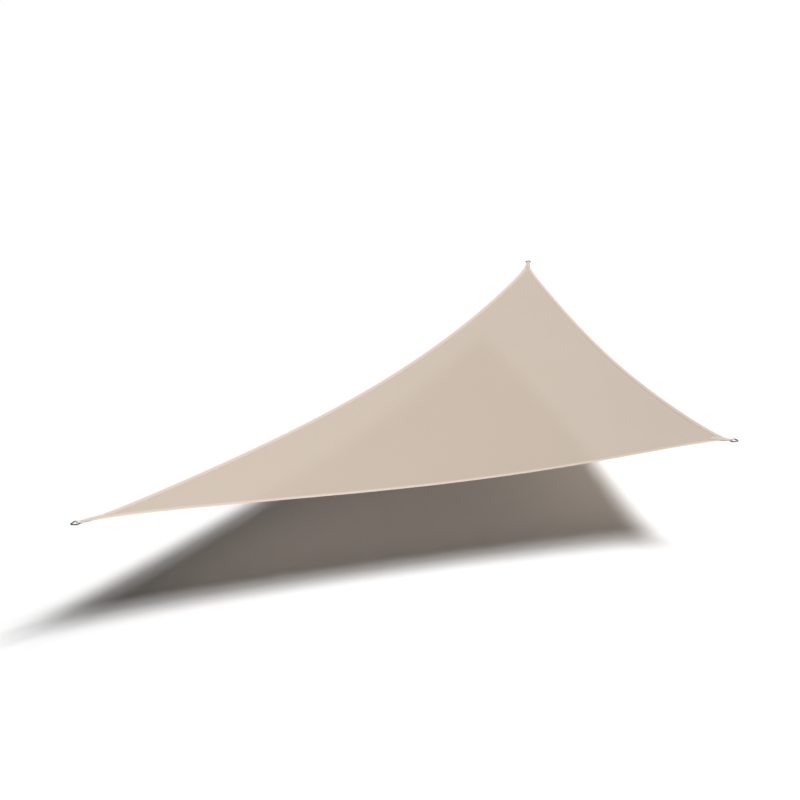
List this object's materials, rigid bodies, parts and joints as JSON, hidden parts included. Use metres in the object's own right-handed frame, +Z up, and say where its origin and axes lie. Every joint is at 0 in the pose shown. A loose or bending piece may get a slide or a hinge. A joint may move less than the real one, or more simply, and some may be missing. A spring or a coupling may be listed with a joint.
{
  "type": "shade sail",
  "caption": "Right-angled triangular shade sail of knitted cloth with inward-curved taped edges, webbing corner straps and triangular steel rings, hung level.",
  "frame": {"origin": "the point inside the tip of the square corner's ring where a hook bears", "axes": "+Z up, square to the level sail; -X along the front edge towards the left corner; +Y along the right edge towards the far corner"},
  "size_m": [4.18, 4.1943, 0.1691],
  "materials": {
    "shade_cloth": "knitted, matt",
    "webbing": "woven, slight sheen",
    "ring_steel": "polished"
  },
  "bodies": {
    "root": {"sail_cloth": "shade_cloth", "edge_tape_long": "webbing", "edge_tape_right": "webbing", "edge_tape_front": "webbing", "corner_strap_left": "webbing", "corner_strap_far": "webbing", "corner_strap_square": "webbing", "ring_left": "ring_steel", "ring_far": "ring_steel", "ring_square": "ring_steel"}
  },
  "joints": []
}
